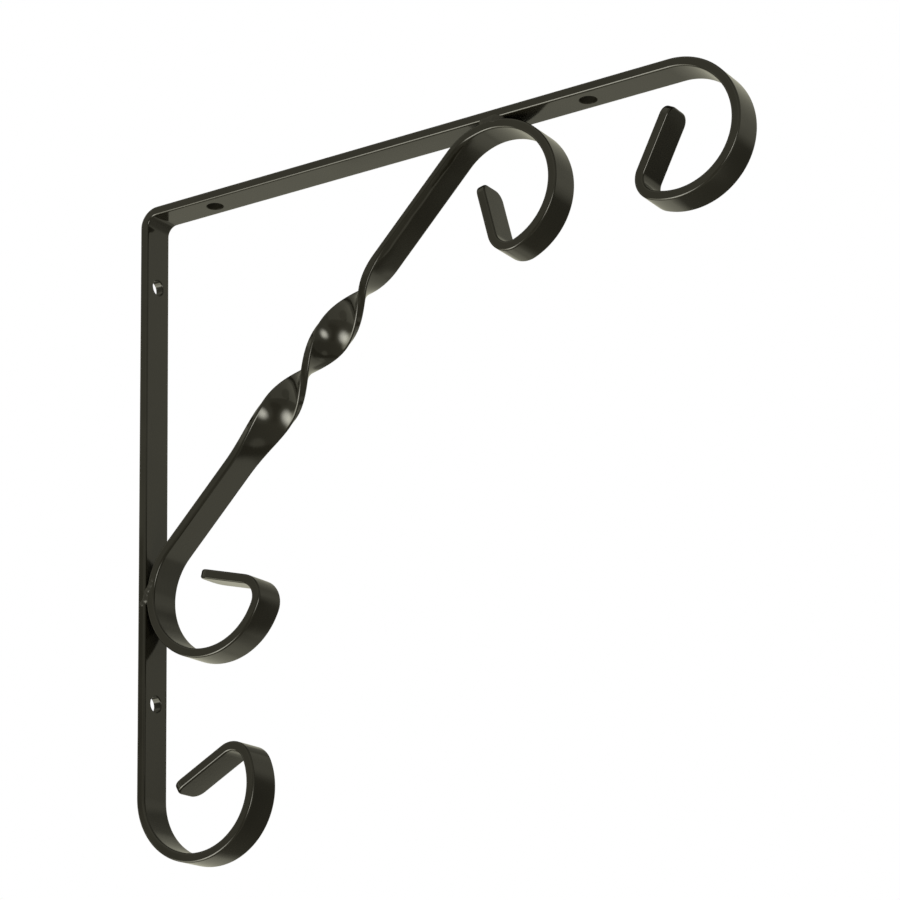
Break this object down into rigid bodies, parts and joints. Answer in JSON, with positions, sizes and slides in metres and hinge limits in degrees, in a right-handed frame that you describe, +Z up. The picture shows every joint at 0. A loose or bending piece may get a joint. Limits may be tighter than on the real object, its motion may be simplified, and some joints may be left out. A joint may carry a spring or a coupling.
{
  "type": "shelf bracket",
  "caption": "Scrolled wall bracket for a shelf: a right-angled flat bar with rolled ends, a twisted diagonal brace with rolled ends, and screw holes in both arms.",
  "frame": {"origin": "the bracket's outer corner, where the wall's plane meets the shelf's underside, at mid-width", "axes": "+X out from the wall along the shelf arm, +Z up along the wall arm, Y across the bars' width"},
  "size_m": [0.25, 0.0146, 0.25],
  "materials": {
    "bars": "satin black paint on steel flat bar",
    "welds": "satin black paint over weld metal"
  },
  "bodies": {
    "root": {"angle_bar": "bars", "brace_bar": "bars", "upper_weld_near": "welds", "upper_weld_far": "welds", "lower_weld_near": "welds", "lower_weld_far": "welds"}
  },
  "joints": []
}
